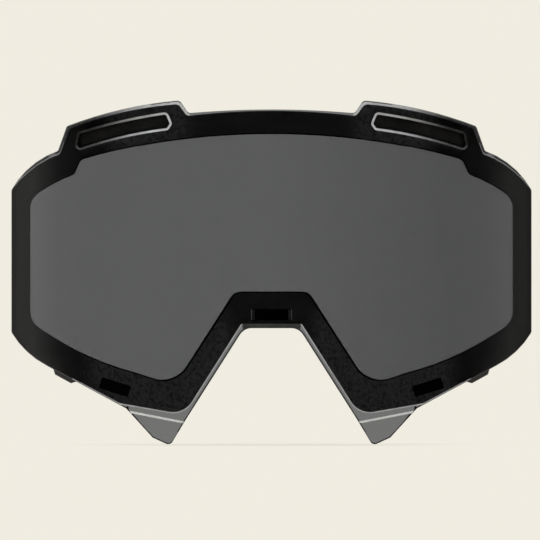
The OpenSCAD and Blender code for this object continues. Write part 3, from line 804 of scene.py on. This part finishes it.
HOLE_HALF_L, HOLE_HALF_H = 5.67, 1.87        # holes for the magnets
CLIP_ROOM = 1.28             # at each end of the nose magnet
NOSE_MAGNET_Z = 43.8
LOW_MAGNET = (52.3, 19.4)
LOW_TILT = math.radians(17.3)
LOW_SEEN = 0.885             # share of a lower magnet's length seen from the front
magnet_holes = [box_outline(0, NOSE_MAGNET_Z, HOLE_HALF_L + CLIP_ROOM, HOLE_HALF_H)]
magnet_holes += [box_outline(side * LOW_MAGNET[0], LOW_MAGNET[1], HOLE_HALF_L * LOW_SEEN, HOLE_HALF_H,
                             side * LOW_TILT) for side in (1, -1)]
soft_edge = 0.25             # rounding of the gasket's edges
gasket_rim = [(-soft_edge, GASKET_R), (-0.07, GASKET_R - 0.07), (0, GASKET_R - soft_edge),
              (0, GASKET_R - GASKET_T + soft_edge), (-0.07, GASKET_R - GASKET_T + 0.07),
              (-soft_edge, GASKET_R - GASKET_T)]
gasket_hole = [(-d, r) for d, r in gasket_rim]
# The window's wide chamfer carries gasket_edge as a painted line of shade.
gasket_window = [(0.45, GASKET_R), (0.3, GASKET_R - 0.06), (0, GASKET_R - 0.5)] + gasket_hole[3:]
VENT_FIT = 0.15              # the gasket's vent holes are wider than the lens's by this
vent_fit = [(p[0] + VENT_FIT * o[0], p[1] + VENT_FIT * o[1]) for p, o in zip(vent_right, normals(vent_right))]
vent_fits = [vent_fit, [(-x, z) for x, z in reversed(vent_fit)]]
gasket = sheet_mesh("gasket", [seen_at(band_outline), seen_at(window_outline), *vent_fits, *magnet_holes],
                    [gasket_rim, gasket_window] + [gasket_hole] * 5, gasket_place, step=(2.0, 3.0),
                    slots=[[0] * 5, [1] * 5] + [[0] * 5] * 5)
dress(gasket, "lens_unit", "gasket_foam", [gasket_foam, gasket_edge], "spacer_gasket")


def lens_wall(x, z, r):
    return x, wall_y(x, r, LENS_AXIS), z


pane_rim = [(-0.15, PANE_R), (0, PANE_R - 0.15), (0, PANE_R - PANE_T + 0.15), (-0.15, PANE_R - PANE_T)]
pane = sheet_mesh("pane", [outline(grown(WINDOW, PANE_LAP), STEP)], [pane_rim], lens_wall)
dress(pane, "lens_unit", "inner_pane", [pane_smoke], "inner_pane")

# ---------------------------------------------------------------- the face foam

INNER_GROWTH = 0.9           # keeps the pads' inner edges out of sight behind the gasket
OUTER_GROWTH = -0.5          # and their outer edges
PUFF = 1.1                   # most that the fabric may rise
face_outer = clipped(outline(grown(BAND, OUTER_GROWTH), STEP), HALF_W - FOAM_SIDE)
face_inner = outline(grown(WINDOW, INNER_GROWTH), STEP)


def face_ring(name, profile, step):
    """A ring about the face axis, its inner edge like its outer edge."""
    return sheet_mesh(name, [face_outer, face_inner], [profile, [(-d, r) for d, r in profile]], on_face,
                      step=step)


def ring(name, r_front, r_back, side_bulge, edge, crown, step=(2.0, 2.0)):
    """A foam ring between two radii about the face axis: rounded edges, bulged sides and a crowned back."""
    depth = r_front - r_back
    profile = [(-edge * 0.6, r_front), (0, r_front - 0.12 * depth), (side_bulge, r_front - 0.45 * depth),
               (side_bulge * 0.6, r_front - 0.72 * depth), (-edge * 0.3, r_back + 0.12 * depth),
               (-edge, r_back)]
    obj = face_ring(name, profile, step)
    if crown:
        mesh = obj.data
        rims = [(p[0] * MM, p[1] * MM) for p in face_outer + face_inner]
        for v in mesh.vertices:
            x, z = v.co.x, v.co.z + LOW_Z * MM
            r = math.hypot(v.co.x / MM, v.co.y / MM - FACE_AXIS)
            if r < r_back + 0.02:
                near = min((x - a) ** 2 + (z - b) ** 2 for a, b in rims) ** 0.5 / MM
                t = min(1.0, near / 6.0)
                v.co.y += crown * MM * math.sin(t * math.pi / 2)
    return obj


def puffed(obj, r_held, frames=26, size=20.0):
    """Turns a pad's free side into puffed fabric: cloth that is slack, blown up and held beyond r_held
    about the face axis. It is worked out size times as large, as cloth of this thickness needs."""
    mesh, scene = obj.data, bpy.context.scene
    before = [v.co.copy() for v in mesh.vertices]
    held = [v.index for v in mesh.vertices if math.hypot(v.co.x / MM, v.co.y / MM - FACE_AXIS) > r_held]
    obj.vertex_groups.new(name="held").add(held, 1.0, "REPLACE")
    for v in mesh.vertices:
        v.co *= size
    cloth = obj.modifiers.new("cloth", "CLOTH")
    s = cloth.settings
    s.quality = 6
    s.mass = 0.1
    s.tension_stiffness = s.compression_stiffness = 18
    s.shear_stiffness = 6
    s.bending_stiffness = 1.6
    s.air_damping = 4
    s.shrink_min = -0.014
    s.use_pressure = True
    s.uniform_pressure_force = 2.2
    s.vertex_group_mass = "held"
    s.effector_weights.gravity = 0
    cloth.collision_settings.use_collision = False
    cloth.point_cache.frame_start, cloth.point_cache.frame_end = 1, frames
    for f in range(1, frames + 1):
        scene.frame_set(f)
    result = obj.evaluated_get(bpy.context.evaluated_depsgraph_get()).to_mesh()
    after = [v.co.copy() for v in result.vertices]
    obj.to_mesh_clear()
    obj.modifiers.remove(cloth)
    obj.vertex_groups.clear()
    scene.frame_set(1)
    for v, a, b in zip(mesh.vertices, after, before):
        move = a / size - b
        v.co = b + move * min(1.0, PUFF * MM / max(move.length, 1e-9))


PLATE_EDGE = 0.3
plate = face_ring("face_plate_shell", [(-PLATE_EDGE, PLATE_FRONT_R), (0, PLATE_FRONT_R - PLATE_EDGE),
                                       (0, PLATE_R + BOND + PLATE_EDGE), (-PLATE_EDGE, PLATE_R + BOND)],
                  (2.5, 4.0))
dress(plate, "goggle_body", "plate_plastic", [plate_plastic], "face_plate")

base_pad = ring("foam_base_pad", PLATE_R, BASE_R + BOND, 0.15, 0.3, 0)
dress(base_pad, "goggle_body", "firm_foam", [firm_foam], "foam_base")
core_pad = ring("foam_core_pad", BASE_R, CORE_R + BOND, 0.5, 0.6, 0)
dress(core_pad, "goggle_body", "soft_foam", [soft_foam], "foam_core")
lining_pad = ring("fleece_pad", CORE_R, FACE_R + 0.8, 0.3, 0.6, 0.8)
puffed(lining_pad, CORE_R - 0.4)
dress(lining_pad, "goggle_body", "fleece", [fleece], "foam_lining")

# ---------------------------------------------------------------- the outriggers

ARM_OUT = HALF_W - 0.1
ARM_T = 2.0
KNUCKLE_R = 2.0
KNUCKLE_L = 16
HOLE_R = 1.15
STRAP_BAR = 3.8
STRAP_SLOT = (5.2, 40.0)
HINGE_X = ARM_OUT - KNUCKLE_R
HINGE_Y = body_low.y / MM + KNUCKLE_R
NECK_Y = HINGE_Y + KNUCKLE_R + 0.5
ARM_REAR = body_high.y / MM
ARM_HALF_H = STRAP_SLOT[1] / 2 + STRAP_BAR
ARM_Z = (body_low.z + body_high.z) / 2 / MM + LOW_Z
SLOT_Y = ARM_REAR - STRAP_BAR - STRAP_SLOT[0]
PANEL_DEPTH = 0.5
RIB_PITCH = 3.6

BAR_Y = SLOT_Y - STRAP_BAR
KNUCKLE_HALF = KNUCKLE_L / 2
TONGUE = 1.25                # from the pin to the front end of the arm, inside the knuckle
PANEL_EDGE = 4.6


def upright(corners):
    """The corners, then the same ones mirrored top to bottom, last one first."""
    return corners + [(y, -z, r, bulge) for y, z, r, bulge in reversed(corners)]


arm_corners = upright([(NECK_Y, KNUCKLE_HALF + 2, 1.5, 0), (BAR_Y - 3, ARM_HALF_H, 6, 0),
                       (ARM_REAR, ARM_HALF_H, 3.5, 0)])
arm_corners += upright([(NECK_Y, -KNUCKLE_HALF, 0.1, 0), (HINGE_Y + TONGUE, -KNUCKLE_HALF, 0.1, 0)])
slot_corners = upright([(SLOT_Y, STRAP_SLOT[1] / 2, 1, 0), (SLOT_Y + STRAP_SLOT[0], STRAP_SLOT[1] / 2, 1, 0)])
panel_corners = upright([(NECK_Y + 2.6, KNUCKLE_HALF - 1, 1.5, 0),
                         (BAR_Y - 3.2, ARM_HALF_H - PANEL_EDGE, 3, 0),
                         (BAR_Y + 0.6, ARM_HALF_H - PANEL_EDGE, 1.5, 0)])


def at_side(points, side):
    """Points y, z about the arm's middle, as the left or right outrigger has them seen from outside."""
    out = [(side * y, z + ARM_Z) for y, z in points]
    return out if side > 0 else out[::-1]


def knuckle(name, side):
    """The hinge barrel with its bore and chamfered ends."""
    h = KNUCKLE_HALF
    profile = [(HOLE_R + 0.15, -h), (KNUCKLE_R - 0.3, -h), (KNUCKLE_R - 0.08, 0.1 - h), (KNUCKLE_R, 0.35 - h),
               (KNUCKLE_R, h - 0.35), (KNUCKLE_R - 0.08, h - 0.1), (KNUCKLE_R - 0.3, h), (HOLE_R + 0.15, h),
               (HOLE_R, h - 0.15), (HOLE_R, 0.15 - h)]
    turns, n = 40, len(profile)
    verts = []
    for k in range(turns):
        c, s = math.cos(2 * math.pi * k / turns), math.sin(2 * math.pi * k / turns)
        verts += [(side * HINGE_X + r * c, HINGE_Y + r * s, ARM_Z + z) for r, z in profile]
    faces = [(k * n + i, (k + 1) % turns * n + i, (k + 1) % turns * n + (i + 1) % n, k * n + (i + 1) % n)
             for k in range(turns) for i in range(n)]
    return make_mesh(name, verts, faces)


for side, word in ((1, "right"), (-1, "left")):
    panel = at_side(outline(panel_corners), side)

    def arm_place(u, v, r):
        if r > ARM_OUT - 0.01:
            depth = smooth(-edge_distance((u, v), panel), 0, 0.7)
            rib = smooth(math.cos(2 * math.pi * (v - ARM_Z) / RIB_PITCH), -0.2, 0.7)
            r -= PANEL_DEPTH * depth * (1 - 0.8 * rib * smooth(-edge_distance((u, v), panel), 1, 1.8))
        return side * r, side * u, v

    inner = ARM_OUT - ARM_T
    edge = [(-0.7, ARM_OUT), (-0.25, ARM_OUT - 0.14), (0, ARM_OUT - 0.6),
            (0, inner + 0.5), (-0.15, inner + 0.15), (-0.5, inner)]
    hole = [(0.6, ARM_OUT), (0.2, ARM_OUT - 0.12), (0, ARM_OUT - 0.5),
            (0, inner + 0.5), (0.15, inner + 0.12), (0.5, inner)]
    marks = [p for d in (0, -0.35, -0.7) for p in at_side(outline(grown(panel_corners, d), 0.9), side)]
    contours = [at_side(outline(arm_corners, 1.0), side), at_side(outline(slot_corners, 1.5), side)]
    arm = sheet_mesh("arm_" + word, contours, [edge, hole], arm_place, step=(0.9, 0.45), lines=marks)
    dress(arm, "outrigger_" + word, "outrigger_plastic", [outrigger_plastic], "outrigger_" + word)
    dress(knuckle("knuckle_" + word, side), "outrigger_" + word, "outrigger_plastic", [outrigger_plastic])

# ---------------------------------------------------------------- CAD nodes that keep their shape

# Material, width of the rounded edges, names
KEPT = [
    (carrier_plastic, 0.2, ["lens_carrier"]),
    (tab_rubber, 0.35, ["pull_tab_left", "pull_tab_right"]),
    (vent_mesh, 0.2, ["vent_foam_left", "vent_foam_right"]),
    (magnet_coat, 0.15, ["nose_magnet", "lower_magnet_left", "lower_magnet_right"]),
    (clip_plastic, 0.06, ["nose_magnet_clip"]),
    (frame_plastic, 0.3, ["goggle_frame"]),
    (filter_mesh, 0.2, ["top_filter_middle", "top_filter_left", "top_filter_right", "bottom_filter_left",
                        "bottom_filter_right"]),
    (steel, 0.15, ["nose_keeper", "lower_keeper_left", "lower_keeper_right", "hinge_pin_left",
                   "hinge_pin_right"]),
]


def finished(obj, material, width):
    """Gives a CAD node its material and rounded edges."""
    if not obj.material_slots:
        obj.data.materials.append(material)
    for s in obj.material_slots:
        s.material = material
    weld = obj.modifiers.new("weld", "WELD")
    weld.merge_threshold = 1e-6
    bevel = obj.modifiers.new("bevel", "BEVEL")
    bevel.width = width * MM
    bevel.segments = 2
    bevel.limit_method = "ANGLE"
    bevel.angle_limit = math.radians(38)
    bevel.harden_normals = True


for material, width, names in KEPT:
    for node in names:
        finished(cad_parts[node], material, width)

# ---------------------------------------------------------------- floor, light and camera

CREAM = (0.871, 0.840, 0.752, 1)     # the backdrop
AMBIENT = (0.42, 0.415, 0.40, 1)     # what lights matte surfaces
OVERHEAD = (1.0, 0.99, 0.955, 1)     # what mirror reflections show overhead
PAPER = (0.96, 0.925, 0.83, 1)       # the floor, where it is lit
# Brightness of the studio in reflections, by the angle from the front as a share of half a turn: dark in
# front, paler at the sides and behind
STUDIO = [(0.0, 0.008), (0.38, 0.015), (0.46, 0.12), (0.53, 0.4), (0.6, 0.3), (0.72, 0.6), (1.0, 0.8)]
RIGHT_SHARE = 0.6            # of that brightness on the right


def studio_tone(tree, direction):
    """The studio's tone in the given direction, a vector socket, and that direction's height."""
    split = add_node(tree, "ShaderNodeSeparateXYZ", {0: direction})
    angle = math_node(tree, "ARCCOSINE", math_node(tree, "MULTIPLY", split.outputs["Y"], -1.0))
    ramp = add_node(tree, "ShaderNodeValToRGB", {0: math_node(tree, "DIVIDE", angle, math.pi)})
    stops = ramp.color_ramp.elements
    while len(stops) < len(STUDIO):
        stops.new(0.5)
    for stop, (at, tone) in zip(stops, STUDIO):
        stop.position = at
        stop.color = (tone * 1.02, tone, tone * 0.95, 1)
    side = add_node(tree, "ShaderNodeMapRange", {"Value": split.outputs["X"], "From Min": 0.3,
                                                 "From Max": 0.95, "To Min": 1.0, "To Max": RIGHT_SHARE})
    scaled = add_node(tree, "ShaderNodeVectorMath", {0: ramp.outputs[0], "Scale": side.outputs[0]},
                      operation="SCALE")
    return scaled.outputs[0], split.outputs["Z"]


def mirrored(tree, path):
    """1 for a ray that came by a mirror reflection, also when it has passed through glass since."""
    return math_node(tree, "MINIMUM", path.outputs["Glossy Depth"], 1.0)


def studio_world():
    world = bpy.data.worlds.new("studio")
    bpy.context.scene.world = world
    world.use_nodes = True
    tree = world.node_tree
    tree.nodes.clear()
    path = add_node(tree, "ShaderNodeLightPath")
    tone, up = studio_tone(tree, add_node(tree, "ShaderNodeTexCoord").outputs["Generated"])
    lift = add_node(tree, "ShaderNodeMapRange", {"Value": up, "From Min": 0.35, "From Max": 0.8}).outputs[0]
    glossy = mixed(tree, lift, tone, OVERHEAD)
    seen = math_node(tree, "MAXIMUM", path.outputs["Is Camera Ray"], path.outputs["Is Transmission Ray"])
    colour = mixed(tree, seen, AMBIENT, CREAM)
    bounced = mixed(tree, path.outputs["Is Glossy Ray"], AMBIENT, glossy)
    colour = mixed(tree, mirrored(tree, path), colour, bounced)
    back = add_node(tree, "ShaderNodeBackground", {"Color": colour})
    add_node(tree, "ShaderNodeOutputWorld", {"Surface": back.outputs[0]})


# All in metres
FLOOR_RINGS = [0.1, 0.2, 0.4, 0.8, 1.6, 3.0]
FLOOR_Z = -0.0002
LIT_FROM, LIT_TO = 0.02, 0.085       # how far from the middle the paper turns into the backdrop
BACKDROP_LEAST = 0.82                # the backdrop's share in the middle


def paper_material():
    """Paper that is lit near the part, and shows the backdrop or the studio everywhere else."""
    mat = bpy.data.materials.new("floor")
    mat.use_nodes = True
    tree = mat.node_tree
    tree.nodes.clear()
    spot = add_node(tree, "ShaderNodeTexCoord").outputs["Object"]
    away = add_node(tree, "ShaderNodeVectorMath", {0: spot}, operation="NORMALIZE")
    tone, _ = studio_tone(tree, away.outputs[0])
    path = add_node(tree, "ShaderNodeLightPath")
    glow = add_node(tree, "ShaderNodeEmission", {"Color": mixed(tree, mirrored(tree, path), CREAM, tone)})
    paper = add_node(tree, "ShaderNodeBsdfDiffuse", {"Color": PAPER})
    length = add_node(tree, "ShaderNodeVectorMath", {0: spot}, operation="LENGTH")
    fade = add_node(tree, "ShaderNodeMapRange", {"Value": length.outputs["Value"], "From Min": LIT_FROM,
                                                 "From Max": LIT_TO, "To Min": BACKDROP_LEAST},
                    interpolation_type="SMOOTHSTEP").outputs[0]
    seen = math_node(tree, "MAXIMUM", path.outputs["Is Glossy Ray"], path.outputs["Is Transmission Ray"])
    share = math_node(tree, "MAXIMUM", seen, math_node(tree, "MULTIPLY", path.outputs["Is Camera Ray"], fade))
    mix = add_node(tree, "ShaderNodeMixShader", {0: share, 1: paper.outputs[0], 2: glow.outputs[0]})
    add_node(tree, "ShaderNodeOutputMaterial", {"Surface": mix.outputs[0]})
    return mat


def round_floor(sides=96):
    """A disc of rings, finer towards the middle."""
    verts = [(r * math.cos(2 * math.pi * k / sides), r * math.sin(2 * math.pi * k / sides), 0)
             for r in FLOOR_RINGS for k in range(sides)]
    faces = [tuple(range(sides))]
    for i in range(len(FLOOR_RINGS) - 1):
        for k in range(sides):
            a, b = i * sides + k, i * sides + (k + 1) % sides
            faces.append((a, b, b + sides, a + sides))
    mesh = bpy.data.meshes.new("floor")
    mesh.from_pydata(verts, [], faces)
    mesh.materials.append(paper_material())
    obj = bpy.data.objects.new("floor", mesh)
    bpy.context.scene.collection.objects.link(obj)
    obj.location.z = FLOOR_Z
    return obj


studio_world()
floor = round_floor()


def area_light(name, place, target, size, power):
    data = bpy.data.lights.new(name, "AREA")
    data.shape = "RECTANGLE"
    data.size, data.size_y = size
    data.energy = power
    obj = bpy.data.objects.new(name, data)
    obj.location = place
    obj.rotation_euler = (Vector(target) - Vector(place)).to_track_quat("-Z", "Y").to_euler()
    obj.visible_camera = False
    obj.visible_glossy = False
    obj.visible_transmission = False
    bpy.context.scene.collection.objects.link(obj)


area_light("top_light", (0, -0.25, 1.7), (0, 0, 0.05), (2.2, 1.8), 22)
area_light("left_light", (-1.6, -0.5, 0.7), (0, 0, 0.06), (1.2, 1.2), 9)
area_light("right_light", (1.6, -0.4, 0.6), (0, 0, 0.06), (1.2, 1.2), 4.5)

VIEW_W = 182.70              # width that the camera sees at the middle of the part
VIEW_FROM = 5000.0
VIEW_X, VIEW_Z = -0.5, 58.84
camera = bpy.data.objects.new("camera", bpy.data.cameras.new("camera"))
camera.data.sensor_width = 36
camera.data.lens = 36 * VIEW_FROM / VIEW_W
camera.data.clip_start, camera.data.clip_end = 0.1, 50
camera.location = (VIEW_X * MM, -VIEW_FROM * MM, VIEW_Z * MM)
camera.rotation_euler = (math.pi / 2, 0, 0)
bpy.context.scene.collection.objects.link(camera)
bpy.context.scene.camera = camera
bpy.context.scene.view_settings.view_transform = "Standard"
